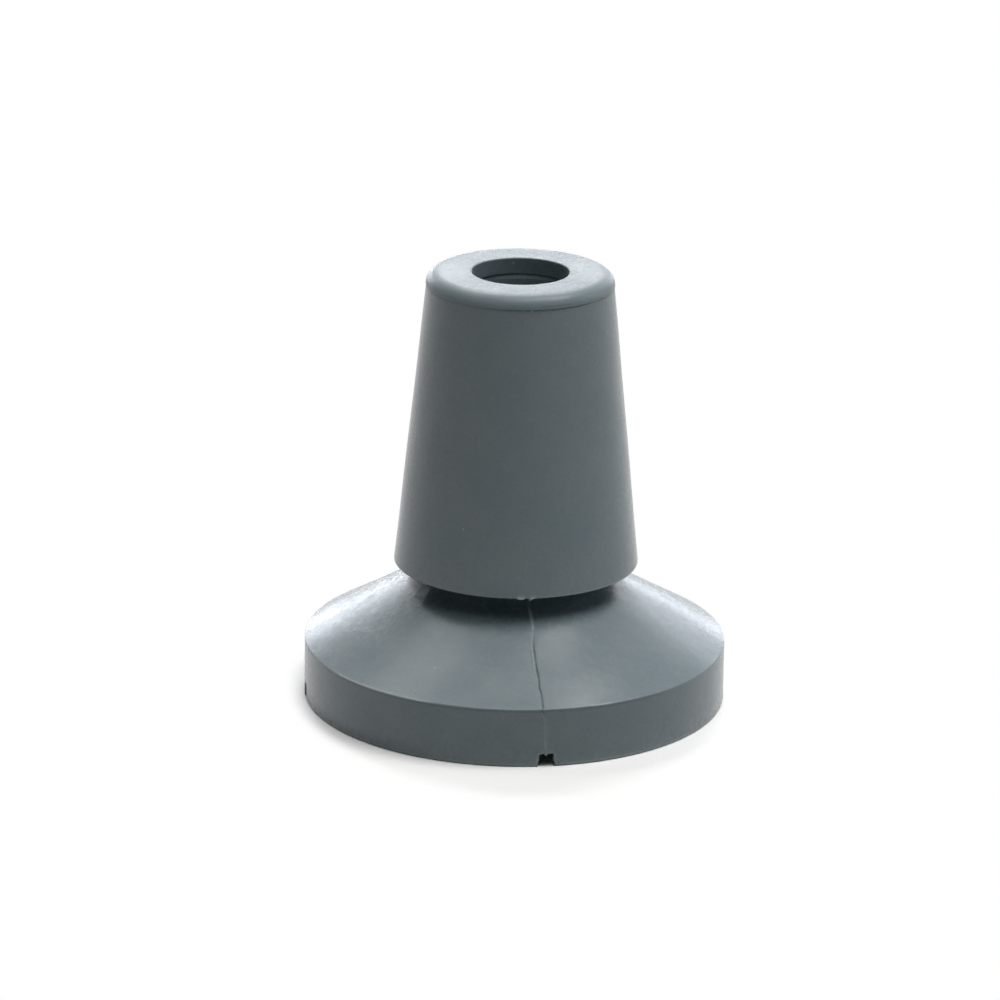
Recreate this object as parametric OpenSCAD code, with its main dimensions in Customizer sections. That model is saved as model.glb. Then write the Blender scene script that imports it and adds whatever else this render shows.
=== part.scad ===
// Cane tip, moulded in rubber as one piece. A tapered socket with a blind bore grips the end of
// a shaft. A waist below it lets the shaft tilt while the wide foot stays flat, and the foot
// stands on a tread of rings crossed by four channels that open through the rim.
// The origin is the middle of the ground face, and +Z runs up the bore. Lengths in millimetres.

/* [Foot] */
// Diameter of the rim at its upper edge
rim_d = 70; // [60:0.5:90]
// Height of the rim's wall
rim_h = 9.8; // [7:0.1:14]
// Draft of the rim's wall, in degrees, so that it widens towards the ground
rim_draft = 0.5; // [0:0.1:3]
// Slope of the cone between the rim and the neck, in degrees
cone_slope = 30; // [20:0.5:38]

/* [Neck] */
// Diameter of the neck, at the root of the groove under the socket
neck_d = 27.4; // [20:0.2:32]
// Radius of the groove's root
root_r = 0.8; // [0.4:0.1:1.6]

/* [Socket] */
// Length of the socket, from its lower edge to its top face
socket_l = 49.5; // [40:0.5:70]
// Diameter of the socket at its lower edge
socket_foot_d = 40.5; // [36:0.5:50]
// Diameter that the socket's wall tapers to at its top face, inside the shoulder
socket_top_d = 30.3; // [26:0.1:36]
// Radius of the shoulder round the top face
shoulder_r = 2.1; // [1:0.1:4]
// How far the shoulder stands proud of the wall below it, where the mould parts
shoulder_step = 0.1; // [0.05:0.05:0.4]

/* [Bore] */
// Diameter of the bore, which is the shaft's own
bore_d = 16; // [10:0.5:19]
// Depth of the bore
bore_depth = 41; // [30:0.5:46]
// Depth below the mouth at which the first grip groove starts
grip_start = 2.7; // [1.5:0.1:6]
// Distance from one grip groove to the next, down to the bore's floor
grip_pitch = 6.5; // [3:0.1:10]
// Height of a grip groove
grip_w = 0.9; // [0.5:0.1:1.5]
// Depth of a grip groove into the wall
grip_depth = 0.5; // [0.2:0.1:1]
// Least height of plain wall between the last grip groove and the floor
grip_clear = 3; // [1:0.5:8]

/* [Tread] */
// Depth of the tread's grooves and channels
tread_depth = 2.1; // [1:0.1:3.5]
// Draft of the groove walls, in degrees
tread_draft = 10; // [0:1:15]
// Number of channels that run out through the rim
channel_count = 4; // [3:1:8]
// Width of a channel at the ground
channel_w = 2.8; // [2:0.1:4]
// Diameter of the round pad in the middle of the tread
pad_d = 13; // [9:0.5:18]
// Number of ring grooves round the pad, which leave lands of one width between them
ring_count = 4; // [1:1:5]
// Width of a ring groove at the ground
ring_w = 2.8; // [2:0.1:4]

/* [Hidden] */
$fn = 180;
rubber = "#7c8487";
// A cut runs this far past the face that it opens, so that it opens it cleanly
past = 1;

rim_r = rim_d / 2;
rim_foot_r = rim_r + rim_h * tan(rim_draft);
neck_r = neck_d / 2;
socket_foot_r = socket_foot_d / 2;
socket_top_r = socket_top_d / 2;
bore_r = bore_d / 2;
pad_r = pad_d / 2;
ring_pitch = (rim_foot_r - pad_r) / ring_count;
grip_count = 1 + floor((bore_depth - grip_start - grip_w - grip_clear) / grip_pitch);

// The cone and the socket's underside meet in a wedge, and the root's circle touches both:
// its centre lies this far out from the wedge's point
root_run = root_r / tan(cone_slope / 2);
wedge_r = neck_r + root_r - root_run;
underside_z = rim_h + (rim_r - wedge_r) * tan(cone_slope);
top_z = underside_z + socket_l;
floor_z = top_z - bore_depth;

// The mould parts at the height of the shoulder's centre
shoulder_z = top_z - shoulder_r;
wall_top_r = socket_top_r + (socket_foot_r - socket_top_r) * shoulder_r / socket_l;
shoulder_x = wall_top_r + shoulder_step - shoulder_r;

// Foot in half section: the rim's wall, then the cone up to the socket's underside
module foot_section() {
    polygon([
        [0, 0],
        [rim_foot_r, 0],
        [rim_r, rim_h],
        [wedge_r, underside_z],
        [0, underside_z]
    ]);
}

// Neck in half section: it fills the point of the wedge up to the root's circle, and reaches
// into the foot and the socket by the root's radius
module neck_section() {
    centre = [wedge_r + root_run, underside_z - root_r];
    in_foot = centre - 2 * root_r * [sin(cone_slope), cos(cone_slope)];
    difference() {
        polygon([
            [0, in_foot.y],
            in_foot,
            centre,
            [centre.x, underside_z + root_r],
            [0, underside_z + root_r]
        ]);
        translate(centre) circle(root_r);
    }
}

// Socket in half section: the tapered wall, then the rounded shoulder and the top face
module socket_section() {
    polygon([
        [0, underside_z],
        [socket_foot_r, underside_z],
        [wall_top_r, shoulder_z],
        [0, shoulder_z]
    ]);
    translate([0, shoulder_z - shoulder_r]) square([shoulder_x, 2 * shoulder_r]);
    translate([shoulder_x, shoulder_z])
        intersection() {
            circle(shoulder_r);
            translate([-shoulder_r, 0]) square([2 * shoulder_r, shoulder_r]);
        }
}

// Bore in half section, with square-edged grip grooves down its wall
module bore_section() {
    translate([0, floor_z]) square([bore_r, bore_depth + past]);
    for (i = [0 : grip_count - 1])
        translate([0, top_z - grip_start - i * grip_pitch - grip_w])
            square([bore_r + grip_depth, grip_w]);
}

// A groove's own section: width w at the ground, narrowing upwards by the draft
module groove_section(w) {
    lean = tan(tread_draft);
    polygon([
        [-w / 2 - past * lean, -past],
        [w / 2 + past * lean, -past],
        [w / 2 - tread_depth * lean, tread_depth],
        [-w / 2 + tread_depth * lean, tread_depth]
    ]);
}

// Ring grooves in half section, from the pad outwards
module ring_section() {
    for (i = [0 : ring_count - 1])
        translate([pad_r + ring_w / 2 + i * ring_pitch, 0]) groove_section(ring_w);
}

// One channel along +X, from the middle of the innermost ring groove out through the rim
module channel() {
    start = pad_r + ring_w / 2;
    rotate([90, 0, 90])
        translate([0, 0, start])
            linear_extrude(rim_foot_r + past - start) groove_section(channel_w);
}

// The whole tip: everything round is one revolved section, and the channels are cut from it
module cane_tip() {
    color(rubber)
        difference() {
            rotate_extrude()
                difference() {
                    union() {
                        foot_section();
                        neck_section();
                        socket_section();
                    }
                    bore_section();
                    ring_section();
                }
            for (i = [0 : channel_count - 1])
                rotate(i * 360 / channel_count) channel();
        }
}

cane_tip();
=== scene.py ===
"""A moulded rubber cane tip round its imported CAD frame, and the plain studio that it stands in.

One closed surface stands for the CAD node. It is a half section carried round the bore's axis:
the rows run down the section, and the columns go round, closer together where a channel opens
through the rim and where the mould halves leave their seam. The marks that moulding leaves are
then raised from it or sunk into it. Lengths inside are in millimetres and azimuths in degrees
from -Y towards +X, and the finished mesh is in metres. In the functions, s holds the sizes.
"""

import math

import bpy
import numpy as np
from bpy.props import FloatProperty, FloatVectorProperty, IntProperty, PointerProperty
from mathutils import Matrix, Vector


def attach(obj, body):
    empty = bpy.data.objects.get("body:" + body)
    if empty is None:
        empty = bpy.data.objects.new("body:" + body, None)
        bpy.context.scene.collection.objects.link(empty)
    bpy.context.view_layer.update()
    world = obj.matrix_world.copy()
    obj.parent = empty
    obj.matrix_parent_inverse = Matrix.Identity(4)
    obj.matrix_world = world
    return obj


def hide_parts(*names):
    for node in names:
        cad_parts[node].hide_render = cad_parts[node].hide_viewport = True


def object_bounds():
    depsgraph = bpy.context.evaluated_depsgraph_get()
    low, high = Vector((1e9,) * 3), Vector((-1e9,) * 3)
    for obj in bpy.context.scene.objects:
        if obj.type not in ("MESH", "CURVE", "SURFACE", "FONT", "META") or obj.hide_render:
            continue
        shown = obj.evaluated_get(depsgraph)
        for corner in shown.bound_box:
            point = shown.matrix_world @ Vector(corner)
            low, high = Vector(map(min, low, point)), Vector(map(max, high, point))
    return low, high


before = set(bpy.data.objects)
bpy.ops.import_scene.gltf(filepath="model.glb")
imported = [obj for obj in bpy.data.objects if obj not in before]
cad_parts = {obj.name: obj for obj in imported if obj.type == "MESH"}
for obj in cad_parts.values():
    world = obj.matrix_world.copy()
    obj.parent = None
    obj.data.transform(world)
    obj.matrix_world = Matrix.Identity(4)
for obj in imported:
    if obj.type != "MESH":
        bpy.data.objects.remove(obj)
CAD_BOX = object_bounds()

bl_info = {
    "name": "Rubber cane tip",
    "version": (1, 0, 0),
    "blender": (4, 5, 0),
    "location": "3D View > Sidebar > Cane Tip",
    "description": "Builds a moulded rubber cane tip and the plain studio that it stands in",
    "category": "Add Mesh",
}

MM = 0.001
TIP_NODE = "cane_tip"


def length(name, description, millimetres):
    """A size that a user may change, kept in metres."""
    return FloatProperty(
        name=name, description=description, default=millimetres * MM, min=0.0,
        precision=5, subtype="DISTANCE", unit="LENGTH",
    )


def angle(name, description, degrees):
    """An angle that a user may change, kept in radians."""
    return FloatProperty(
        name=name, description=description, default=math.radians(degrees),
        subtype="ANGLE", unit="ROTATION",
    )


def share(name, description, default):
    """A plain number from 0 to 1."""
    return FloatProperty(
        name=name, description=description, default=default, min=0.0, max=1.0, subtype="FACTOR"
    )


def linear(colour):
    """An sRGB hex colour as linear red, green and blue."""
    coded = np.array([int(colour[i : i + 2], 16) for i in (1, 3, 5)]) / 255
    return tuple(np.where(coded <= 0.04045, coded / 12.92, ((coded + 0.055) / 1.055) ** 2.4))


def tint(name, description, colour):
    """A colour that a user may change, given as sRGB hex."""
    return FloatVectorProperty(
        name=name, description=description, default=linear(colour), size=3,
        min=0.0, max=1.0, subtype="COLOR",
    )


class CaneTipSizes(bpy.types.PropertyGroup):
    """Sizes of the moulding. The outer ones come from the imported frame."""

    foot_r: length("Foot radius", "Radius of the rim at the ground", 35.0855)
    top_z: length("Height", "Height of the top face", CAD_BOX[1].z / MM)
    rim_r: length("Rim radius", "Radius of the rim at its upper edge", 35.0)
    rim_h: length("Rim height", "Height of the rim's wall", 9.8)
    cone_slope: angle("Cone slope", "Slope of the cone between the rim and the neck", 30)
    neck_r: length("Neck radius", "Radius at the root of the groove under the socket", 13.7)
    root_r: length("Root rounding", "Radius of the groove's root", 0.8)
    socket_foot_r: length("Socket foot radius", "Radius of the socket at its lower edge", 20.25)
    wall_top_r: length("Wall top radius", "Radius of the socket's wall under the shoulder", 15.3661)
    shoulder_r: length("Shoulder rounding", "Radius of the shoulder round the top face", 2.1)
    shoulder_step: length("Shoulder step", "How far the shoulder stands proud of the wall", 0.1)
    bore_r: length("Bore radius", "Radius of the bore, which is the shaft's own", 8.0)
    bore_depth: length("Bore depth", "Depth of the bore", 41.0)
    grip_start: length("First grip", "Depth below the mouth of the first grip groove", 2.7)
    grip_pitch: length("Grip pitch", "Distance from one grip groove to the next", 6.5)
    grip_w: length("Grip height", "Height of a grip groove", 0.9)
    grip_depth: length("Grip depth", "Depth of a grip groove into the wall", 0.5)
    grip_count: IntProperty(
        name="Grips", description="Number of grip grooves", default=6, min=0, max=12
    )
    tread_depth: length("Tread depth", "Depth of the tread's grooves and channels", 2.1)
    tread_draft: angle("Tread draft", "Draft of the tread's groove walls", 10)
    groove_w: length("Groove width", "Width of a ring groove or channel at the ground", 2.8)
    pad_r: length("Pad radius", "Radius of the round pad in the middle of the tread", 6.5)
    ring_count: IntProperty(
        name="Rings", description="Number of ring grooves round the pad", default=4, min=1, max=6
    )


class CaneTipFinish(bpy.types.PropertyGroup):
    """Colours and gloss of the moulded rubber."""

    colour: tint("Rubber", "Colour of the filled rubber compound", "#75858b")
    bloom: tint("Bloom", "Paler wax that rises to the surface of the rubber", "#8d9598")
    bloom_share: share("Bloom share", "How thickly the wax lies where it has bloomed", 0.35)
    # The flash colour also paints highlights on edges, ridges and the top face, and light on the
    # rim's foot
    flash: tint("Flash", "Thin torn edges and scuffs, which go pale", "#c8d0d2")
    # This dark colour paints shade in grooves, recesses, creases and under edges, as well as dark
    # grit
    wax: tint("Dark wax", "Mould wax and dust left in the grooves", "#24292b")
    roughness: share("Roughness", "Roughness of the satin mould finish", 0.27)
    sheen: share("Sheen", "How much the bloom brightens where the surface turns away", 0.35)
    sheen_roughness: share("Sheen roughness", "How widely the bloom's sheen spreads", 0.3)
    ior: FloatProperty(
        name="IOR", description="Index of refraction of the rubber", default=1.5, min=1.0, max=2.0
    )


class CaneTipStudio(bpy.types.PropertyGroup):
    """Camera and light of the plain studio."""

    paper: tint("Paper", "Colour of the sheet of paper that the tip stands on", "#b3b3b3")
    floor: tint("Floor", "Colour of the floor round the paper, out of the light", "#595959")
    gain: FloatProperty(
        name="Paper gain", description="How bright the paper beside the tip is seen",
        default=1.30, min=0.0,
    )
    world: share("World light", "Even light from all round", 0.01)
    lamps: FloatProperty(
        name="Lamps", description="Power of all the lamps, next to that in their table",
        default=1.0, min=0.0,
    )
    cool: tint("Cool light", "Colour of the low lamps behind and beside the tip", "#f0f6ff")
    azimuth: angle("Camera azimuth", "Camera's place round the tip, from -Y towards +X", -9.0)
    elevation: angle("Camera elevation", "Camera's height above the aim point", 18.452)
    distance: FloatProperty(
        name="Camera distance", description="Distance from the camera to the aim point",
        default=0.8044, unit="LENGTH", subtype="DISTANCE",
    )
    lens: FloatProperty(
        name="Lens", description="Focal length in millimetres", default=175.13, unit="CAMERA"
    )


# -------- The half section --------

BORE, TOP, SHOULDER, WALL, UNDER, CONE, RIM, TREAD = range(8)

CHANNELS = 4
SECTOR = 360 / CHANNELS
# Up to this height the rim's rows arch over the channel mouths
ARCH_Z = 4.4
# The step under the shoulder lies this far below the end of its arc
STEP_DROP = 0.08
# Rows that hold a flat face flat stand this far from the arc beside it
HOLD = 0.12
# Rows of the socket's wall: how far below its top or above its foot, and the steps down to each
WALL_TOP_ROWS = ((0.18, 3), (0.5, 2))
WALL_FOOT_ROWS = ((0.9, 26), (0.5, 1))
# Rows of the rim's wall: height, and the steps down to each
RIM_ROWS = ((9.2, 2), (ARCH_Z, 5), (1.2, 6))
# The land at the rim's foot has a row this far in from its edge
LAND_ROW = 1.1
# Pulling the tip off its core rounds the grip grooves: what is left of their depth, and how high
# the slot under their upper edge still is
GRIP_LEFT, GRIP_SLOT = 0.4, 0.25


def section_corners(s):
    """Corners of the half section, from the bore's floor out and down to the tread's centre.

    Each is (radius, height, rounding, steps round it, steps along the run that ends there, zone).
    """
    top, floor_z = s.top_z, s.top_z - s.bore_depth
    step_z = top - s.shoulder_r - STEP_DROP
    wedge_r = s.neck_r + s.root_r - s.root_r / math.tan(s.cone_slope / 2)
    under_z = s.rim_h + (s.rim_r - wedge_r) * math.tan(s.cone_slope)
    lean = s.tread_depth * math.tan(s.tread_draft)
    half_w = s.groove_w / 2
    pitch = (s.foot_r - s.pad_r) / s.ring_count
    proud_r = s.wall_top_r + s.shoulder_step
    taper = (s.socket_foot_r - s.wall_top_r) / (step_z - under_z)

    corners = [(0, floor_z, 0, 0, 0, BORE), (s.bore_r, floor_z, 0.5, 3, 3, BORE)]
    for i in reversed(range(s.grip_count)):
        high = top - s.grip_start - i * s.grip_pitch
        low, deep = high - s.grip_w, s.bore_r + GRIP_LEFT * s.grip_depth
        corners += [
            (s.bore_r, low, 0.2, 1, 2, BORE),
            (deep, high - GRIP_SLOT, 0.08, 1, 1, BORE),
            (deep, high, 0.05, 1, 1, BORE),
            (s.bore_r, high, 0.06, 1, 1, BORE),
        ]
    corners += [
        (s.bore_r, top, 0.18, 4, 2, BORE),
        (proud_r, top, s.shoulder_r, 14, 8, TOP),
        (proud_r, step_z, 0.03, 1, 1, SHOULDER),
        (s.wall_top_r, step_z, 0.03, 1, 1, SHOULDER),
        *((s.wall_top_r + drop * taper, step_z - drop, 0, 0, steps, WALL)
          for drop, steps in WALL_TOP_ROWS),
        *((s.socket_foot_r - rise * taper, under_z + rise, 0, 0, steps, WALL)
          for rise, steps in WALL_FOOT_ROWS),
        (s.socket_foot_r, under_z, 0.14, 4, 2, WALL),
        (wedge_r, under_z, s.root_r, 10, 4, UNDER),
        (s.rim_r, s.rim_h, 0.22, 4, 38, CONE),
        *((s.rim_r + (s.foot_r - s.rim_r) * (1 - z / s.rim_h), z, 0, 0, steps, RIM)
          for z, steps in RIM_ROWS),
        (s.foot_r, 0, 0.2, 4, 8, RIM),
        (s.foot_r - LAND_ROW, 0, 0, 0, 4, TREAD),
    ]
    for i in reversed(range(s.ring_count)):
        middle = s.pad_r + half_w + i * pitch
        corners += [
            (middle + half_w, 0, 0.15, 1, 2, TREAD),
            (middle + half_w - lean, s.tread_depth, 0.2, 1, 1, TREAD),
            (middle - half_w + lean, s.tread_depth, 0.2, 1, 2, TREAD),
            (middle - half_w, 0, 0.15, 1, 1, TREAD),
        ]
    corners.append((0, 0, 0, 0, 3, TREAD))
    return corners


def section_rows(corners):
    """Rows of the section as arrays of radius, height and zone.

    A rounding of radius q at a corner that turns by t leaves each run q tan(t / 2) from the
    corner, and its points lie at equal angles on the circle that touches both runs.
    """
    spots = np.array([c[:2] for c in corners], float)
    rows, zones = [spots[:1]], [[corners[0][5]]]
    start = spots[0]
    for i in range(1, len(corners)):
        spot, (q, around, along, zone) = spots[i], corners[i][2:]
        into = (spot - start) / np.linalg.norm(spot - start)
        ends = spot[None]
        if q:
            out = spots[i + 1] - spot
            out = out / np.linalg.norm(out)
            turn = math.acos(np.clip(into @ out, -1, 1))
            run = q * math.tan(turn / 2)
            side = np.array([-into[1], into[0]]) * np.sign(into[0] * out[1] - into[1] * out[0])
            centre = spot - into * run + side * q
            swing = np.linspace(0, turn, around + 1)[:, None]
            ends = centre - side * q * np.cos(swing) + into * q * np.sin(swing)
        reach = np.linalg.norm(ends[0] - start)
        ways = np.linspace(0, reach, along + 1)[1:-1]
        if reach > 3 * HOLD and q > HOLD:
            ways = np.append(ways, reach - HOLD)
        if reach > 3 * HOLD and corners[i - 1][2] > HOLD:
            ways = np.append(ways, HOLD)
        rows += [start + into * np.sort(ways)[:, None], ends]
        zones.append([zone] * (len(ways) + len(ends)))
        start = ends[-1]
    return np.vstack(rows), np.concatenate(zones).astype(int)


# -------- The columns --------

# Distances from a channel's middle to the columns beside it, at the rim: outside the channel,
# and from its middle out to its roof's corner. The parts with the mould's seam are finer.
SEAM_BESIDE = (2.4, 2.15, 1.95, 1.8, 1.68, 1.57, 1.48)
SEAM_ROOF = (0.86, 0.7, 0.56, 0.44, 0.34, 0.26, 0.19, 0.13, 0.08, 0.04, 0)
PLAIN_ROOF = (0.77, 0.5, 0.25, 0)
# Steps of the columns away from the channels, and where flash hangs from the socket, in degrees
WIDE_STEP = 2.0
FLASH_STEP = 0.33
FLASH_FROM = -9.7
# How much closer together the wide columns start and end
EASE = 0.1
# A column this near to a channel's middle runs along the channel under the tread
ALONG_HALF = 1.7


def column_azimuths(s):
    """Azimuths of the columns at the rim, in degrees: a block of them at each channel, and wider
    ones between, which ease into the blocks' own spacing."""
    half_w = s.groove_w / 2
    inner = half_w - s.tread_depth * math.tan(s.tread_draft)
    seam = np.concatenate([SEAM_BESIDE, np.linspace(half_w, inner, 7), SEAM_ROOF])
    plain = np.concatenate([np.linspace(half_w, inner, 5), PLAIN_ROOF])
    blocks = []
    for i, half in enumerate((seam, plain, seam, plain)):
        turned = np.degrees(np.arcsin(np.concatenate([-half, half[-2::-1]]) / s.foot_r))
        if i == 0:
            flash = np.arange(FLASH_FROM, turned[0] - FLASH_STEP / 2, FLASH_STEP)
            turned = np.concatenate([flash, turned])
        blocks.append(turned + SECTOR * i)
    blocks.append(blocks[0] + 360)
    out = []
    for now, after in zip(blocks, blocks[1:]):
        gap = after[0] - now[-1]
        steps = np.linspace(0, 1, int(round(gap / WIDE_STEP)) + 1)
        eased = steps - EASE * np.sin(2 * np.pi * steps)
        out += [now, now[-1] + gap * eased[1:-1]]
    out = np.concatenate(out)
    return np.sort(np.where(out > 180, out - 360, out))


# -------- The marks of the mould --------

# The foot is moulded in two halves, which meet in front and behind. Down the foot's outside, from
# the neck: distance run, azimuth of the seam, depth of its groove, height of the lip on the
# groove's left, height of its narrow ridge, and height of its broad one
SEAM_RUN = np.array([
    (0, -1, 0, 0, 0.04, 0), (2.4, -1.05, 0, 0, 0.1, 0),
    (3.6, -1.05, 0, 0, 0.26, 0), (4.4, -0.95, 0, 0, 0.26, 0),
    (5.2, -0.75, 0, 0, 0.2, 0), (6.2, -0.7, 0, 0, 0.1, 0),
    (7.4, -0.75, 0.01, 0, 0, -0.01), (8.8, -0.95, 0.04, 0, 0, -0.03),
    (9.8, -1.25, 0.06, 0.04, 0, -0.025), (10.6, -1.47, 0.15, 0.08, 0, -0.01),
    (12, -1.45, 0.18, 0.07, 0, 0), (13.2, -1.48, 0.13, 0.05, 0, 0),
    (14.5, -1.5, 0.16, 0.04, 0, 0), (16.3, -1.3, 0.22, 0.02, 0, 0),
    (17.5, -1.23, 0.14, 0, 0, 0), (19.5, -1.35, 0.2, 0, 0, 0),
    (21, -1.05, 0.13, 0, 0, 0), (22.2, -1.1, 0.13, 0, 0, 0),
    (23.7, -1.2, 0.17, 0, 0, 0), (24.2, -1.5, 0.15, 0, 0, 0),
    (25.4, -0.6, 0, 0, 0, 0.02), (28.9, -0.4, 0, 0, 0, 0.03),
    (29.8, -0.5, 0, 0, 0.03, 0.02), (32, -0.45, 0, 0, 0.03, 0.01),
    (33.3, -0.1, 0, 0, 0.01, 0), (33.7, 0, 0, 0, 0, 0),
])
# Half widths of the groove, the lip, the narrow ridge and the broad one, and the lip's place
GROOVE_HALF, LIP_HALF, RIDGE_HALF, BROAD_HALF, LIP_AT = 0.11, 0.14, 0.24, 0.45, -0.36
# The columns follow the seam fully this near to it, in degrees, and not at all that far from it
FOLLOW = (2.2, 7.0)
# How strong the marks behind are, next to those in front
BEHIND = 0.6
# Distance run at the rim's upper edge, and where the rim's rows start to arch. The columns stop
# following the seam over the last of the run above that.
RIM_EDGE, ARCH_RUN, ARCH_EASE = 24.08, 29.4, 3
# The marks are kept within this distance beside the seam
SEAM_REACH = 2.5

# Torn flash along the socket's lower edge: azimuth, half width in degrees, how far it hangs, how
# far it stands out, and how pale it is, partly as whitened rubber and partly as painted highlight
FOOT_FLASH = (
    (-7.7, 0.45, 0.13, 0.10, 0.7),
    (-6.7, 0.60, 0.24, 0.12, 1.0),
    (-5.4, 0.55, 0.20, 0.12, 0.9),
    (-2.25, 0.26, 0.60, 0.02, 0.5),
    (-1.60, 0.28, 0.36, 0.06, 0.8),
    (-0.90, 0.36, 0.18, 0.14, 1.0),
    (0.20, 0.30, 0.05, 0.10, 0.6),
)
# How far it reaches from the edge
FLASH_REACH = 0.2

# Ragged edge of a channel's mouth. For a column's distance from the channel's middle: how far
# the edge moves to the right, and up
RAGGED_MOUTH = np.array([
    (-1.68, -0.03, 0), (-1.57, -0.07, 0), (-1.48, -0.11, 0),
    (-1.4, -0.12, 0), (-1.338, -0.14, 0), (-1.277, -0.09, 0),
    (-1.215, 0, 0), (-1.153, -0.04, 0), (-1.091, -0.17, 0),
    (-1.03, -0.16, -0.12), (-0.86, -0.05, -0.12), (-0.7, 0, 0.02),
    (-0.44, 0, 0.02), (-0.3, 0, -0.18), (-0.19, 0, -0.34),
    (-0.08, 0, -0.34), (0.04, 0, -0.15), (0.19, 0, -0.15),
    (0.34, 0, 0.05), (0.86, 0.03, 0.07), (1.03, 0.12, 0.06),
    (1.091, 0.04, 0), (1.153, -0.06, 0), (1.215, -0.17, 0),
    (1.277, -0.02, 0), (1.338, 0.12, 0), (1.4, 0.1, 0),
    (1.48, 0.08, 0), (1.57, 0.05, 0), (1.68, 0.02, 0),
])
# The ragged edge dies away within this height over it, and this depth into the channel
RAGGED_UP, RAGGED_IN = 0.25, 0.4
# Columns beside the mouth spread a little above it, by this much at these distances
SPREAD_MOUTH = np.array([(0.7, 0.0), (1.03, 0.14), (1.09, 0.2), (1.4, 0.2), (2.6, 0.0)])
# Strength at the four channels, and how much higher each one's roof is at the mouth
RAGGED_SHARE = (1.0, 0.45, 0.7, 0.4)
MOUTH_FLARE = (0.0, 0.05, 0.05, 0.24)
# The roof rises to that within this distance of the mouth
FLARE_IN = 1.5

# The mould also parts under the shoulder. Along that line: azimuth, and how deep the nick is and
# how dark the shade painted along it is
PARTING_NICK = np.array([
    (-180, 0.3), (-84, 0.3), (-76, 1.0), (-68, 0.2), (-26, 0.2), (-16, 0.5), (10, 0.5),
    (17, 0.9), (50, 1.0), (66, 0.5), (75, 0.3), (180, 0.3),
])
NICK_DEPTH, NICK_AT, NICK_HALF = 0.06, -0.05, 0.09
# A second line of painted shade, with no nick, lies on the shoulder this far above the first
DOUBLED_UP = 0.55

# Slow waves in the smooth faces, as from a polished mould and uneven shrinkage: seed, number of
# waves, shortest and longest wave, and height
WALL_WAVES = (11, 9, (14.0, 34.0), 0.018)
CONE_WAVES = (23, 9, (10.0, 26.0), 0.02)
# The cone's die away within this distance of its edges, which lie this far apart. The face is
# taken to be this far round, and the cone to run down twice its height.
WAVES_FADE, CONE_LENGTH, GIRTH, CONE_RUN = 3, 24, 120, 2


def smooth(t):
    """The share t, kept from 0 to 1, with an easy start and end: 3 t^2 - 2 t^3."""
    t = np.clip(t, 0, 1)
    return t * t * (3 - 2 * t)


def hump(distance, half):
    """A bell that falls to 1 / e at the half width."""
    return np.exp(-((distance / half) ** 2))


def run_down(spots, zones):
    """Distance of each row down the foot's outside from the neck, below 0 above it."""
    steps = np.linalg.norm(np.diff(spots, axis=0), axis=1)
    run = np.concatenate([[0], np.cumsum(steps)])
    return run - run[np.argmax(zones == CONE)]


def outward(spots):
    """Unit normals of the section's rows, out of the rubber."""
    along = np.gradient(spots, axis=0)
    face = np.stack([-along[:, 1], along[:, 0]], -1)
    return face / np.linalg.norm(face, axis=1)[:, None]


def seam_relief(run, beside, strength):
    """Height of the seam's marks. Each is a bell of the distance beside the seam, with the
    height that the table gives for the run down the foot."""
    groove, lip, ridge, broad = (
        np.interp(run, SEAM_RUN[:, 0], SEAM_RUN[:, j], left=0) for j in (2, 3, 4, 5)
    )
    raised = lip * hump(beside - LIP_AT, LIP_HALF) + ridge * hump(beside, RIDGE_HALF)
    raised = raised + broad * hump(beside, BROAD_HALF)
    return strength * (raised - groove * hump(beside, GROOVE_HALF))


def unevenness(turned, height, seed, waves, lengths, size):
    """Slow waves in a face: a sum of sines that close up round the axis, of seeded direction and
    phase, between the two lengths."""
    draw = np.random.default_rng(seed)
    total = np.zeros(np.broadcast(turned, height).shape)
    for _ in range(waves):
        around = draw.integers(1, int(GIRTH / lengths[0]) + 1)
        down = 2 * math.pi / draw.uniform(*lengths) * draw.choice([-1, 1])
        total += np.sin(around * turned + down * height + draw.uniform(0, 2 * math.pi))
    return total * size / math.sqrt(waves)


def seam_lead(run):
    """The seam's azimuth, and how much of it the columns follow: none where the rows arch."""
    return np.interp(run, SEAM_RUN[:, 0], SEAM_RUN[:, 1]), smooth((ARCH_RUN - run) / ARCH_EASE)


def carry_round(s, spots, zones, azimuths, off):
    """Azimuth, in radians, of every row and column.

    Above the ground a column keeps its azimuth, apart from following the seam. On the tread, a
    column inside a channel keeps its distance from the channel's middle, so it runs along the
    channel, and those between two channels share out what is left.
    """
    lead, led = seam_lead(run_down(spots, zones)[:, None])
    front = np.abs((azimuths + 90) % 180 - 90)
    follow = smooth((FOLLOW[1] - front) / (FOLLOW[1] - FOLLOW[0]))
    drift = np.radians(lead * led * follow)

    reach = np.where(zones == TREAD, np.maximum(spots[:, 0], s.pad_r), s.foot_r)[:, None]
    edge = np.arcsin(ALONG_HALF / s.foot_r)
    edge_here = np.arcsin(ALONG_HALF / reach)
    half = math.radians(SECTOR / 2)
    turn = np.radians(np.abs(off))
    along = np.arcsin(np.clip(s.foot_r * np.sin(turn) / reach, 0, 1))
    between = edge_here + (turn - edge) * (half - edge_here) / (half - edge)
    turned = np.where(turn <= edge, along, between)
    return np.radians(azimuths - off) + np.sign(off) * turned + drift


def window(x, start, end, ease):
    """1 from start to end, easing to 0 outside them."""
    return smooth((x - start) / ease + 1) * smooth((end - x) / ease + 1)


# Stands for a distance at which a mark is nothing
FAR = 99


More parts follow.
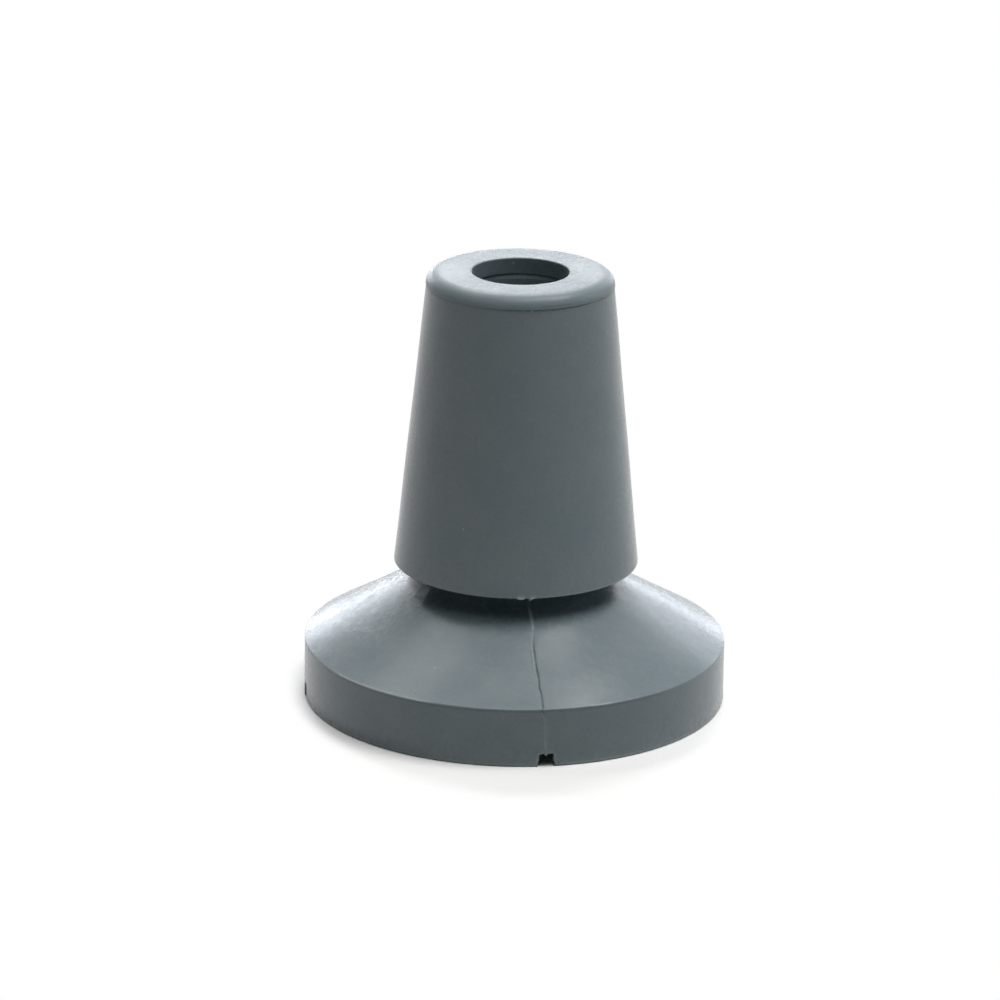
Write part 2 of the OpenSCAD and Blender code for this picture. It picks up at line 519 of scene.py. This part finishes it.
class Skin:
    """The grid of rows by columns that the surface and its marks are worked out on."""

    def __init__(self, s):
        self.spots, zones = section_rows(section_corners(s))
        self.zone = zones[:, None]
        self.azimuths = column_azimuths(s)
        channel = np.round(self.azimuths / SECTOR)
        off = self.azimuths - channel * SECTOR
        self.turned = carry_round(s, self.spots, zones, self.azimuths, off)
        # Azimuth in degrees, and how deep the nick under the shoulder is there and how dark its
        # painted shade is
        self.signed = (np.degrees(self.turned) + 180) % 360 - 180
        self.nick = np.interp(self.signed, PARTING_NICK[:, 0], PARTING_NICK[:, 1])
        self.radius = np.repeat(self.spots[:, :1], len(off), 1)
        self.height = np.repeat(self.spots[:, 1:], len(off), 1)
        # Distance from the channel's middle, and how ragged and how high its mouth is
        self.across = s.foot_r * np.sin(np.radians(off))
        self.torn = np.take(RAGGED_SHARE, channel.astype(int) % CHANNELS)
        self.flare = np.take(MOUTH_FLARE, channel.astype(int) % CHANNELS)
        # Distance down the foot's outside, distance beside the seam, and strength of its marks
        self.run = run_down(self.spots, zones)[:, None]
        lead, led = seam_lead(self.run)
        front = (self.azimuths + 90) % 180 - 90
        self.beside = np.radians(front - lead * (1 - led)) * self.radius
        self.share = np.where(np.abs(self.azimuths) > 90, BEHIND, 1.0)
        foot = (self.zone == CONE) | (self.zone == RIM)
        self.on_foot = foot & (np.abs(self.beside) < SEAM_REACH)
        # Height over the line where the mould parts, and distance from the socket's lower edge
        self.over_step = self.spots[:, 1:] - (s.top_z - s.shoulder_r - STEP_DROP)
        widest = self.spots[np.argmax(np.where(zones == WALL, self.spots[:, 0], 0))]
        edge = np.linalg.norm(self.spots - widest, axis=1)[:, None]
        self.edge = np.where((self.zone == WALL) | (self.zone == UNDER), edge, FAR)


def revolve(s, skin):
    """Points of the whole surface, as rows by columns by (x, y, z), in millimetres.

    A point at azimuth a, radius r and height z is (r sin a, -r cos a, z). Over the tread, the
    height is the larger of the section's and the channel's own. The marks move a point along the
    section's normal, or along the radius and up where a table says so.
    """
    radius, height, zone, turned = skin.radius, skin.height, skin.zone, skin.turned

    # Channels, and the rim's rows that arch over their mouths
    from_side = s.groove_w / 2 - np.abs(skin.across)
    roof = np.clip(from_side / math.tan(s.tread_draft), 0, s.tread_depth)
    inside = np.where(zone == TREAD, np.maximum(s.foot_r - radius, 0), 0)
    roof = roof * (1 + skin.flare * np.exp(-inside / FLARE_IN))
    start_r = s.pad_r + s.groove_w / 2
    height = np.where((zone == TREAD) & (radius >= start_r), np.maximum(height, roof), height)
    low_rim = (zone == RIM) & (height < ARCH_Z)
    height = np.where(low_rim, roof + height * (1 - roof / ARCH_Z), height)

    # Seam, and slow waves in the smooth faces
    raised = np.where(skin.on_foot, seam_relief(skin.run, skin.beside, skin.share), 0)
    wall = unevenness(turned, height, *WALL_WAVES)
    cone = unevenness(turned, height * CONE_RUN, *CONE_WAVES)
    fade = smooth(skin.run / WAVES_FADE) * smooth((CONE_LENGTH - skin.run) / WAVES_FADE)
    raised += np.where(zone == WALL, wall, 0) + np.where(zone == CONE, cone * fade, 0)
    face = outward(skin.spots)
    radius = radius + face[:, :1] * raised
    height = height + face[:, 1:] * raised

    # Nick where the mould parts under the shoulder, and flash under the socket
    nick = skin.nick * NICK_DEPTH * hump(skin.over_step - NICK_AT, NICK_HALF)
    radius = radius - np.where(zone == WALL, nick, 0)
    for azimuth, half, hang, out, _ in FOOT_FLASH:
        bit = hump(skin.signed - azimuth, half) * hump(skin.edge, FLASH_REACH)
        height = height - hang * bit
        radius = radius + out * bit

    # Ragged channel mouths
    above = skin.spots[:, 1:]
    inward = np.where(zone == TREAD, np.exp((radius - s.foot_r) / RAGGED_IN), 0)
    upward = np.where(zone == RIM, np.exp(-above / RAGGED_UP), 0)
    torn = skin.torn * (inward + upward)
    aside, lift = (
        np.interp(skin.across, RAGGED_MOUTH[:, 0], moved, left=0, right=0)
        for moved in RAGGED_MOUTH[:, 1:].T
    )
    spread = np.interp(np.abs(skin.across), SPREAD_MOUTH[:, 0], SPREAD_MOUTH[:, 1], right=0)
    spread = spread * np.sign(skin.across) * skin.torn * np.clip(1 - above / ARCH_Z, 0, 1) ** 2
    spread = np.where(zone == RIM, spread * (1 - np.exp(-above / RAGGED_UP)), 0)
    turned = turned + (torn * aside + spread) / s.foot_r
    height = height + torn * lift
    return np.stack([radius * np.sin(turned), -radius * np.cos(turned), height], -1)


# Azimuths of the stains, painted highlights and painted shade, in degrees: from, to, and how
# softly they end
WORN_LIT_LEFT, WORN_LIT_RIGHT = (-62, -36, 8), (14, 17, 3)
CHAFED_AND_LIT = (2, 60, 4)
DOUBLED_SHADE, FOOT_LINE = (6, 21, 4), (3.5, 26, 2)
# Where reflections are painted on the top face, left and right
TOP_REFLECTION_LEFT, TOP_REFLECTION_RIGHT = (-106, -82, 26), (76, 104, 26)
UNDER_EDGE_SHADE = (-70, 32, 6)
NECK_SHADE = (-96, -76, 9)
SCUFFED_LEFT, SCUFFED_RIGHT = (-112, -74, 22), (60, 104, 18)
BROW_LEFT, BROW_RIGHT = (-128, -84, 14), (80, 112, 12)
# Heights of the seam's groove, lip and ridge at which their painted shade and highlights are full
FULL_GROOVE, FULL_LIP, FULL_RIDGE = 0.3, 0.08, 0.26


def stains_and_painted_light(s, skin, points):
    """How pale, dark, scuffed, dusty and dull each point is, from 0 to 1. Some of the paleness
    is painted highlight and painted light, and the darkness is painted shade.

    Each mark is its strength times bells or eased windows of the skin's distances, whose places
    and half widths are in millimetres, and of its azimuths. Marks of one kind add up.
    """

    def within(azimuths):
        return window(skin.signed, *azimuths)

    zone, up, ground = skin.zone, points[..., 2], skin.spots[:, 1:]
    on_rim, on_cone, in_bore = zone == RIM, zone == CONE, zone == BORE
    seam = skin.on_foot * skin.share
    groove, lip, ridge = (
        seam * np.interp(skin.run, SEAM_RUN[:, 0], SEAM_RUN[:, j], left=0) / full
        for j, full in ((2, FULL_GROOVE), (3, FULL_LIP), (4, FULL_RIDGE))
    )
    past_edge = skin.run - RIM_EDGE
    worn_and_lit = 0.1 + 0.9 * within(WORN_LIT_LEFT) + 0.4 * within(WORN_LIT_RIGHT)
    flash = sum(
        pale * hump(skin.signed - azimuth, 1.3 * half) * hump(skin.edge, 0.22)
        for azimuth, half, _, _, pale in FOOT_FLASH
    )
    # Distance outside a channel's drafted side, and how far right of its middle
    outside = np.abs(skin.across) - s.groove_w / 2 + up * math.tan(s.tread_draft)
    right_of = np.where(on_rim, skin.across, FAR)
    pale = [
        # Pale lines along the rim's corner and the socket's foot, partly wear and partly painted
        # highlight, and the torn flash there, partly whitened and partly painted highlight
        (on_cone | on_rim) * worn_and_lit * hump(past_edge + 0.08, 0.14),
        hump(skin.edge, 0.14) * (0.1 + 0.25 * within(CHAFED_AND_LIT)),
        flash,
        # Painted highlights on the seam's ridge and lip and on its line down the rim, and a pale
        # spot where it crosses the rim's corner
        ridge * 0.8 * hump(skin.beside, 0.22),
        lip * 0.4 * hump(skin.beside - LIP_AT, 0.12),
        0.16 * on_rim * skin.share * hump(skin.beside, 0.26) * window(skin.run, 25.4, 32, 1.0),
        0.9 * skin.share * hump(skin.beside, 0.13) * hump(past_edge + 0.15, 0.13) * skin.on_foot,
        # Torn sides and roof of a channel's mouth
        0.35 * skin.torn * on_rim * hump(outside - 0.24, 0.1) * window(up, 0.3, 2.1, 0.3),
        0.6 * skin.torn * hump(right_of + 0.15, 0.16) * hump(ground, 0.3),
        # A pale line at the rim's foot, partly rubbed rubber and partly painted highlight, and
        # painted light above it, paler towards the ground, that makes up for the floor's shade
        on_rim * hump(up - 0.4, 0.13) * (0.15 + 0.15 * within(FOOT_LINE)),
        0.24 * on_rim * np.exp(-ground / 1.3),
        # A torn bit on the parting line under the shoulder
        0.9 * (zone == WALL) * hump(skin.signed + 1.7, 0.5) * hump(skin.over_step + 0.14, 0.12),
        # Painted reflections on the top face: lighter patches at its left and right
        0.34 * (zone == TOP) * window(skin.radius, 9.8, 12.8, 1.6)
        * (within(TOP_REFLECTION_LEFT) + 0.8 * within(TOP_REFLECTION_RIGHT)),
    ]
    by_step = ((zone == WALL) | (zone == SHOULDER) | (zone == TOP)) & (skin.radius > 12)
    below_grip = np.mod(s.top_z - s.grip_start - ground, s.grip_pitch)
    neck_shade = on_cone * window(skin.run, 1.6, 3.4, 1.6) * within(NECK_SHADE)
    in_mouth = (zone == TREAD) * window(skin.radius, s.foot_r - 7, s.foot_r - 0.1, 0.6)
    dark = [
        # Painted shade along the parting line under the shoulder, and where it is doubled
        0.8 * skin.nick * by_step * hump(skin.over_step + 0.04, 0.1),
        0.35 * by_step * hump(skin.over_step - DOUBLED_UP, 0.09) * within(DOUBLED_SHADE),
        # Painted shade: the bore darker all over, its grip grooves darker inside, and their lit
        # lower lips darkened
        0.12 * in_bore,
        0.2 * in_bore * smooth((skin.radius - s.bore_r - 0.02) / 0.12),
        0.5 * in_bore * window(below_grip, 0.4, 0.85, 0.15),
        # Painted shade in the seam's groove and to its right, and a dark spot where it crosses
        # under the rim's corner
        groove * 0.35 * hump(skin.beside, 0.09),
        groove * 0.2 * hump(skin.beside - 0.28, 0.16),
        0.9 * skin.share * hump(skin.beside, 0.09) * hump(past_edge - 0.38, 0.1) * on_rim,
        # Painted shade under the rim's corner, and along its foot where it meets the floor
        0.4 * on_rim * within(UNDER_EDGE_SHADE) * hump(past_edge - 0.26, 0.12),
        0.15 * on_rim * hump(up, 0.1) * (np.abs(skin.across) > 1.3),
        # Painted shade at the left end of the groove under the socket, which is also dulled
        0.65 * neck_shade,
        # Painted shade beside a channel's mouth, and inside it
        0.5 * skin.torn * hump(right_of - 1.85, 0.3) * hump(up - 0.5, 0.3),
        0.85 * in_mouth * smooth((up - 0.3) / 0.5) * (np.abs(skin.across) < 1.5),
    ]
    # The mould dragged on the cone's sides as it opened
    left_cone = within(SCUFFED_LEFT) * window(skin.run, 1.5, 15, 5)
    right_cone = within(SCUFFED_RIGHT) * window(skin.run, 3, 18, 6)
    scuffed = on_cone * (left_cone + 0.3 * right_cone)
    # Grit lies round the mouth and on the shoulder, which handling has dulled
    mouth = ((zone == TOP) | in_bore) & (up > s.top_z - 0.5)
    brow = (zone == TOP) * window(skin.radius, 13.6, 15.6, 0.5)
    dusty = (
        0.2 * mouth * window(skin.radius, 7.9, 9.0, 0.8)
        + brow * (0.4 * within(BROW_LEFT) + 0.2 * within(BROW_RIGHT))
        + 0.03 * on_cone * left_cone
        + 0.002
    )
    grids = {
        "pale": sum(pale), "dark": sum(dark), "scuffed": scuffed, "dusty": dusty,
        "dull": 0.45 * brow + 0.8 * neck_shade,
    }
    return {name: np.clip(grid, 0, 1) for name, grid in grids.items()}


# Radius at which the skin's pattern is unrolled to its real width, and the least angle of an
# edge that is shaded sharp, in degrees
UNROLL_R, SHARP = 25.0, 38


def grid_mesh(name, points, skin, marks):
    """A closed mesh in metres from rows of points that go round, with its marks kept as numbers
    on the points. The first and last rows lie on the axis, so each becomes one point with a fan
    of triangles. The UV map unrolls the skin: azimuth across, and distance down the section, both
    in metres. It meets itself along the mould's seam behind."""
    rows, columns = points.shape[:2]
    ring = np.arange(columns)
    row = np.arange(1, rows - 2)[:, None, None] + np.array([0, 1, 1, 0])
    column = ring[:, None] + np.array([0, 0, 1, 1])
    quad_rows, quad_columns = np.broadcast_arrays(row, column)
    last = rows - 1
    fan_rows = np.tile([0, 1, 1], columns), np.tile([last - 1, last, last - 1], columns)
    fan_columns = (ring[:, None] + np.array([0, 0, 1])).ravel()
    row = np.concatenate([fan_rows[0], quad_rows.ravel(), fan_rows[1]])
    column = np.concatenate([fan_columns, quad_columns.ravel(), fan_columns])
    corner_points = np.where(row == 0, 0, 1 + (row - 1) * columns + column % columns)
    corner_points = np.where(row == last, 1 + (rows - 2) * columns, corner_points)
    fan = np.full(columns, 3)
    sizes = np.concatenate([fan, np.full(quad_rows.size // 4, 4), fan])

    def on_points(grid):
        return np.concatenate([grid[0, :1], grid[1:-1].reshape(-1, *grid.shape[2:]), grid[-1, :1]])

    mesh = bpy.data.meshes.new(name)
    places = on_points(points) * MM
    mesh.vertices.add(len(places))
    mesh.vertices.foreach_set("co", places.astype(np.float32).ravel())
    mesh.loops.add(len(corner_points))
    mesh.loops.foreach_set("vertex_index", corner_points.astype(np.int32))
    mesh.polygons.add(len(sizes))
    mesh.polygons.foreach_set("loop_start", (np.cumsum(sizes) - sizes).astype(np.int32))
    mesh.update(calc_edges=True)
    mesh.validate()
    down = np.concatenate([[0], np.cumsum(np.linalg.norm(np.diff(skin.spots, axis=0), axis=1))])
    azimuths = np.radians(np.append(skin.azimuths, skin.azimuths[0] + 360))
    unrolled = np.stack([azimuths[column] * UNROLL_R, down[row]], -1) * MM
    mesh.uv_layers.new(name="skin").uv.foreach_set("vector", unrolled.astype(np.float32).ravel())
    for title, grid in marks.items():
        layer = mesh.attributes.new(title, "FLOAT", "POINT")
        layer.data.foreach_set("value", on_points(grid).astype(np.float32))
    mesh.shade_smooth()
    mesh.set_sharp_from_angle(angle=math.radians(SHARP))
    return mesh


# -------- Materials --------


def add_node(tree, kind, inputs=None, **settings):
    """Adds a shader node. Settings are its own properties, and an input is a value or a socket
    that feeds it."""
    made = tree.nodes.new("ShaderNode" + kind)
    for name, value in settings.items():
        setattr(made, name, value)
    for name, value in (inputs or {}).items():
        if isinstance(value, bpy.types.NodeSocket):
            tree.links.new(value, made.inputs[name])
        else:
            made.inputs[name].default_value = value
    return made


# Patterns of the rubber's skin, in millimetres. Scuffs: width, length, and the part of the noise
# that makes them
SCUFF_WIDE, SCUFF_LONG, SCUFF_CUT = 0.3, 1.6, (0.52, 0.7)
# Grit: size of the cells that each may hold a speck, distances in a cell over which a speck
# fades, and the share of specks that are dark
GRIT_CELL, GRIT_FADE, GRIT_DARK = 0.7, (0.24, 0.12), 0.4
# Noises: size and detail. The grain is coarser than the mould's real one of about 0.05 mm, so
# that it shows
BLOOM_NOISE, GLOSS_NOISE, RIPPLE_NOISE, GRAIN_NOISE = (7, 5.0), (1.5, 1.0), (3, 0.0), (0.35, 2.0)
# The parts of the noise over which bloom and gloss change, and how far gloss does
BLOOM_CUT, GLOSS_CUT, GLOSS_CHANGE = (0.38, 0.68), (0.3, 0.7), 0.02
# How much rougher scuffed or pale skin is, and handled skin
SCUFFED_ROUGHER, DULL_ROUGHER = 0.06, 0.3
RIPPLE_HIGH, SCUFF_HIGH, GRAIN_HIGH = 0.03, 0.03, 0.0008


def rubber_material(look):
    """Grey filled rubber, compression moulded in a polished steel mould.

    Its skin is satin, with a fine grain, and slow ripples that make the edges of reflections
    uneven. Wax blooms on it in faint patches of 7 mm, and gives a soft sheen where the surface
    turns away. It is scuffed in short streaks where it slid out of the mould, and a little grit
    stays on it. Thin flash and worn edges go pale, with painted highlights on some edges, ridges
    and faces, and painted shade darkens its grooves, recesses, creases and the ground under edges.
    """
    material = bpy.data.materials.new("moulded grey rubber")
    material.use_nodes = True
    tree = material.node_tree
    tree.nodes.clear()
    place = add_node(tree, "TexCoord").outputs["Object"]
    skin = add_node(tree, "UVMap", uv_map="skin").outputs["UV"]
    pale, dark, scuffed, dusty, dull = (
        add_node(tree, "Attribute", attribute_name=name).outputs["Fac"]
        for name in ("pale", "dark", "scuffed", "dusty", "dull")
    )
    bloom, gloss, ripples, grain = (
        add_node(tree, "TexNoise", {
            "Vector": place, "Scale": 1 / (size * MM), "Detail": detail,
        }).outputs["Fac"]
        for size, detail in (BLOOM_NOISE, GLOSS_NOISE, RIPPLE_NOISE, GRAIN_NOISE)
    )

    # Scuffs run down the section
    stretched = add_node(tree, "Mapping", {
        "Vector": skin, "Scale": (1 / (SCUFF_WIDE * MM), 1 / (SCUFF_LONG * MM), 1),
    })
    streaks = add_node(tree, "TexNoise", {
        "Vector": stretched.outputs["Vector"], "Scale": 1.0, "Detail": 2.0,
    })
    streaks = add_node(tree, "MapRange", {
        "Value": streaks.outputs["Fac"], "From Min": SCUFF_CUT[0], "From Max": SCUFF_CUT[1],
    }).outputs["Result"]

    # Grit: a cell holds a speck where its own draw is below the share of them there
    cells = add_node(tree, "TexVoronoi", {"Vector": place, "Scale": 1 / (GRIT_CELL * MM)})
    draws = add_node(tree, "SeparateColor", {"Color": cells.outputs["Color"]})
    chosen, kind = (
        add_node(tree, "Math", {
            0: draws.outputs[draw], 1: share_below,
        }, operation="LESS_THAN").outputs["Value"]
        for draw, share_below in (("Red", dusty), ("Green", GRIT_DARK))
    )
    speck = add_node(tree, "MapRange", {
        "Value": cells.outputs["Distance"],
        "From Min": GRIT_FADE[0], "From Max": GRIT_FADE[1], "To Max": chosen,
    }).outputs["Result"]
    scuffs, dark_speck = (
        add_node(tree, "Math", {0: one, 1: other}, operation="MULTIPLY").outputs["Value"]
        for one, other in ((streaks, scuffed), (speck, kind))
    )
    pale_speck = add_node(tree, "Math", {
        0: speck, 1: dark_speck,
    }, operation="SUBTRACT").outputs["Value"]
    paler_and_highlight, darker_grit_and_shade = (
        add_node(tree, "Math", {0: one, 1: other}, operation="MAXIMUM").outputs["Value"]
        for one, other in ((pale, pale_speck), (dark, dark_speck))
    )

    bloomed = add_node(tree, "MapRange", {
        "Value": bloom,
        "From Min": BLOOM_CUT[0], "From Max": BLOOM_CUT[1], "To Max": look.bloom_share,
    })
    colour = (*look.colour, 1)
    for factor, over in (
        (bloomed.outputs["Result"], look.bloom), (paler_and_highlight, look.flash), (darker_grit_and_shade, look.wax),
    ):
        colour = add_node(tree, "Mix", {
            "Factor": factor, "A": colour, "B": (*over, 1),
        }, data_type="RGBA").outputs["Result"]

    rough = add_node(tree, "MapRange", {
        "Value": gloss, "From Min": GLOSS_CUT[0], "From Max": GLOSS_CUT[1],
        "To Min": look.roughness - GLOSS_CHANGE, "To Max": look.roughness + GLOSS_CHANGE,
    }).outputs["Result"]
    marked = add_node(tree, "Math", {0: scuffs, 1: paler_and_highlight}, operation="MAXIMUM").outputs["Value"]
    for mark, rougher in ((marked, SCUFFED_ROUGHER), (dull, DULL_ROUGHER)):
        rough = add_node(tree, "Math", {
            0: mark, 1: rougher, 2: rough,
        }, operation="MULTIPLY_ADD").outputs["Value"]

    relief = {}
    for height, high in ((ripples, RIPPLE_HIGH), (scuffs, SCUFF_HIGH), (grain, GRAIN_HIGH)):
        relief["Normal"] = add_node(tree, "Bump", {
            "Height": height, "Distance": high * MM, **relief,
        }).outputs["Normal"]

    shader = add_node(tree, "BsdfPrincipled", {
        "Base Color": colour,
        "Roughness": rough,
        "IOR": look.ior,
        "Sheen Weight": look.sheen,
        "Sheen Roughness": look.sheen_roughness,
        **relief,
    })
    add_node(tree, "OutputMaterial", {"Surface": shader.outputs["BSDF"]})
    return material


def background_rays(tree):
    """1 for a ray that shows the background as plain white: from the camera, or reflected or
    let through by a surface. 0 for the rays that carry light between matt surfaces."""
    path = add_node(tree, "LightPath")
    either = add_node(tree, "Math", {
        0: path.outputs["Is Camera Ray"],
        1: path.outputs["Is Glossy Ray"],
    }, operation="MAXIMUM")
    return add_node(tree, "Math", {
        0: either.outputs[0],
        1: path.outputs["Is Transmission Ray"],
    }, operation="MAXIMUM").outputs[0]


# The sheet of paper under the tip reaches this far from the axis, in metres
PAPER_R = 0.15
# Seen, it shows the tip's shadow inside an oval, and is plain white outside a larger one: their
# half widths in metres, and how much longer than wide they are
SHADOW_FROM, SHADOW_TO, SHADOW_LONG = 0.0345, 0.0385, 1.3
# Paper in the shadow is seen a little warm, as linear red, green and blue
SHADE_TINT = (1.0, 0.995, 0.98)


def floor_material(studio):
    """White paper on a dark table: matt, and seen as plain white away from the tip's shadow.
    It carries less light to the tip than it is seen by."""
    material = bpy.data.materials.new("white paper sheet")
    material.use_nodes = True
    tree = material.node_tree
    tree.nodes.clear()
    place = add_node(tree, "TexCoord").outputs["Object"]
    distance = add_node(tree, "VectorMath", {0: place}, operation="LENGTH").outputs["Value"]
    off_paper = add_node(tree, "Math", {0: distance, 1: PAPER_R}, operation="GREATER_THAN")
    paper = add_node(tree, "BsdfDiffuse", {"Color": (*studio.paper, 1)})
    table = add_node(tree, "BsdfDiffuse", {"Color": (*studio.floor, 1)})
    matt = add_node(tree, "MixShader", {
        0: off_paper.outputs["Value"],
        1: paper.outputs["BSDF"],
        2: table.outputs["BSDF"],
    })
    shaded = add_node(tree, "BsdfDiffuse", {
        "Color": (*(studio.gain * channel for channel in SHADE_TINT), 1),
    })
    white = add_node(tree, "Emission")
    squeezed = add_node(tree, "VectorMath", {
        0: place, 1: (1, 1 / SHADOW_LONG, 1),
    }, operation="MULTIPLY").outputs["Vector"]
    oval = add_node(tree, "VectorMath", {0: squeezed}, operation="LENGTH")
    whiteness = add_node(tree, "MapRange", {
        "Value": oval.outputs["Value"], "From Min": SHADOW_FROM, "From Max": SHADOW_TO,
    }, interpolation_type="SMOOTHSTEP")
    seen = add_node(tree, "MixShader", {
        0: whiteness.outputs["Result"],
        1: shaded.outputs["BSDF"],
        2: white.outputs["Emission"],
    })
    both = add_node(tree, "MixShader", {
        0: background_rays(tree),
        1: matt.outputs["Shader"],
        2: seen.outputs["Shader"],
    })
    add_node(tree, "OutputMaterial", {"Surface": both.outputs["Shader"]})
    return material


def studio_world(studio):
    """Even light, and plain white behind everything."""
    world = bpy.data.worlds.new("studio")
    world.use_nodes = True
    tree = world.node_tree
    tree.nodes.clear()
    light, white = (
        add_node(tree, "Background", {
            "Color": (1, 1, 1, 1), "Strength": strength,
        }).outputs["Background"]
        for strength in (studio.world, 1.0)
    )
    both = add_node(tree, "MixShader", {0: background_rays(tree), 1: light, 2: white})
    add_node(tree, "OutputWorld", {"Surface": both.outputs["Shader"]})
    return world


# -------- Operators --------


def add_object(scene, name, data):
    """Adds an object to the scene."""
    made = bpy.data.objects.new(name, data)
    scene.collection.objects.link(made)
    return made


class Millimetres:
    """The sizes of a property group, with its lengths in millimetres."""

    def __init__(self, group):
        for name in group.__annotations__:
            value = getattr(group, name)
            is_length = group.bl_rna.properties[name].unit == "LENGTH"
            setattr(self, name, value / MM if is_length else value)


class CANETIP_OT_moulding(bpy.types.Operator):
    """Build the rubber moulding, which stands for the CAD tip"""

    bl_idname = "canetip.moulding"
    bl_label = "Rubber moulding"

    def execute(self, context):
        scene = context.scene
        sizes = Millimetres(scene.cane_tip_sizes)
        skin = Skin(sizes)
        points = revolve(sizes, skin)
        mesh = grid_mesh("tip_moulding", points, skin, stains_and_painted_light(sizes, skin, points))
        mesh.materials.append(rubber_material(scene.cane_tip_finish))
        moulding = add_object(scene, "tip_moulding", mesh)
        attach(moulding, "root")
        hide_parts(TIP_NODE)
        return {"FINISHED"}


# The camera and the lamps stand round this point on the axis
AIM = Vector((0, 0, 0.035))
# Distance from that point to each lamp, in metres
LAMP_DISTANCE = 1.1
# Degrees by which the camera is turned off that point: to the right, downwards, anticlockwise
CAMERA_TURN = (-0.2096, 0.1033, 0.882)
# Width of the camera's sensor in millimetres, and how near and far it sees, in metres
SENSOR, CLIP = 36, (0.01, 20)
# Half width of the floor, and how far it lies below the tip, in metres
FLOOR_HALF, FLOOR_DROP = 4.0, 1e-5
# Lamps below this elevation have the cool colour
COOL_BELOW = 30
# Soft lamps: name, azimuth from the camera's, elevation, width, height and power in watts. A bank
# of low ones behind the tip, which its cone mirrors, one beside it, and the rest over it.
LAMPS = (
    ("low back right", 160, 3, 0.3, 0.08, 0.56),
    ("low back", 190, 3, 0.3, 0.08, 0.85),
    ("low back left", 205, 3, 0.3, 0.08, 0.66),
    ("bank right", 160, 12, 0.3, 0.1, 0.15),
    ("bank middle", 175, 12, 0.3, 0.1, 0.54),
    ("bank left", 205, 12, 0.3, 0.1, 0.60),
    ("back far right", 145, 22, 0.3, 0.1, 0.30),
    ("back right", 160, 22, 0.3, 0.1, 0.16),
    ("back middle", 190, 22, 0.3, 0.1, 0.34),
    ("back left", 205, 22, 0.3, 0.1, 0.12),
    ("back high", 180, 48, 0.5, 0.4, 3.70),
    ("high left", 225, 60, 0.5, 0.4, 1.10),
    ("high right", 84, 65, 0.5, 0.5, 4.95),
    ("side right", 100, 20, 0.5, 0.3, 0.80),
    ("overhead", 0, 89, 0.5, 0.5, 0.90),
    ("overhead front", 0, 73, 0.5, 0.5, 1.60),
    ("front high", 0, 60, 0.5, 0.4, 0.60),
)


def towards(side, up):
    """The unit vector to an azimuth and an elevation."""
    return Vector((math.sin(side) * math.cos(up), -math.cos(side) * math.cos(up), math.sin(up)))


def look_matrix(studio):
    """Where the camera stands, on a sphere round the aim point, and how it is turned: towards
    that point, and then off it by a small yaw, pitch and roll."""
    side, up = studio.azimuth, studio.elevation
    back = towards(side, up)
    yaw, pitch, roll = (math.radians(a) for a in CAMERA_TURN)
    way, fall = yaw - side, up + pitch
    level = math.cos(fall)
    ahead = Vector((math.sin(way) * level, math.cos(way) * level, -math.sin(fall)))
    right = Vector((math.cos(way), -math.sin(way), 0))
    over = right.cross(ahead)
    x_axis = right * math.cos(roll) + over * math.sin(roll)
    y_axis = over * math.cos(roll) - right * math.sin(roll)
    turn = Matrix((x_axis, y_axis, -ahead)).transposed().to_4x4()
    return Matrix.Translation(AIM + back * studio.distance) @ turn


class CANETIP_OT_studio(bpy.types.Operator):
    """Build the plain studio: floor, soft lamps and camera"""

    bl_idname = "canetip.studio"
    bl_label = "Plain studio"

    def execute(self, context):
        scene = context.scene
        studio = scene.cane_tip_studio
        scene.view_settings.view_transform = "Standard"

        lens = bpy.data.cameras.new("camera")
        lens.lens = studio.lens
        lens.sensor_width = SENSOR
        lens.clip_start, lens.clip_end = CLIP
        scene.camera = add_object(scene, "camera", lens)
        scene.camera.matrix_world = look_matrix(studio)

        ground = bpy.data.meshes.new("floor")
        corners = ((-1, -1), (1, -1), (1, 1), (-1, 1))
        ground.from_pydata(
            [(x * FLOOR_HALF, y * FLOOR_HALF, -FLOOR_DROP) for x, y in corners],
            [], [(0, 1, 2, 3)],
        )
        ground.materials.append(floor_material(studio))
        floor = add_object(scene, "floor", ground)

        scene.world = studio_world(studio)
        for name, side, up, width, tall, power in LAMPS:
            light = bpy.data.lights.new(name, "AREA")
            light.shape = "RECTANGLE"
            light.size, light.size_y = width, tall
            light.energy = power * studio.lamps
            light.color = studio.cool if up < COOL_BELOW else (1, 1, 1)
            back = towards(math.radians(side) + studio.azimuth, math.radians(up))
            turn = back.to_track_quat("Z", "Y").to_matrix().to_4x4()
            lamp = add_object(scene, name, light)
            lamp.matrix_world = Matrix.Translation(AIM + back * LAMP_DISTANCE) @ turn
            lamp.visible_camera = False
        return {"FINISHED"}


class CANETIP_PT_panel(bpy.types.Panel):
    """Lists the sizes, colours and steps"""

    bl_label = "Cane Tip"
    bl_idname = "CANETIP_PT_panel"
    bl_space_type = "VIEW_3D"
    bl_region_type = "UI"
    bl_category = "Cane Tip"

    def draw(self, context):
        for name, group in GROUPS.items():
            box = self.layout.box()
            for prop in group.__annotations__:
                box.prop(getattr(context.scene, name), prop)
        for step in (CANETIP_OT_moulding, CANETIP_OT_studio):
            self.layout.operator(step.bl_idname)


GROUPS = {
    "cane_tip_sizes": CaneTipSizes,
    "cane_tip_finish": CaneTipFinish,
    "cane_tip_studio": CaneTipStudio,
}
CLASSES = (*GROUPS.values(), CANETIP_OT_moulding, CANETIP_OT_studio, CANETIP_PT_panel)


def register():
    for cls in CLASSES:
        bpy.utils.register_class(cls)
    for name, group in GROUPS.items():
        setattr(bpy.types.Scene, name, PointerProperty(type=group))


def unregister():
    for name in GROUPS:
        delattr(bpy.types.Scene, name)
    for cls in reversed(CLASSES):
        bpy.utils.unregister_class(cls)


def main():
    """Runs each step in order."""
    register()
    bpy.ops.canetip.moulding()
    bpy.ops.canetip.studio()


if __name__ == "__main__":
    main()
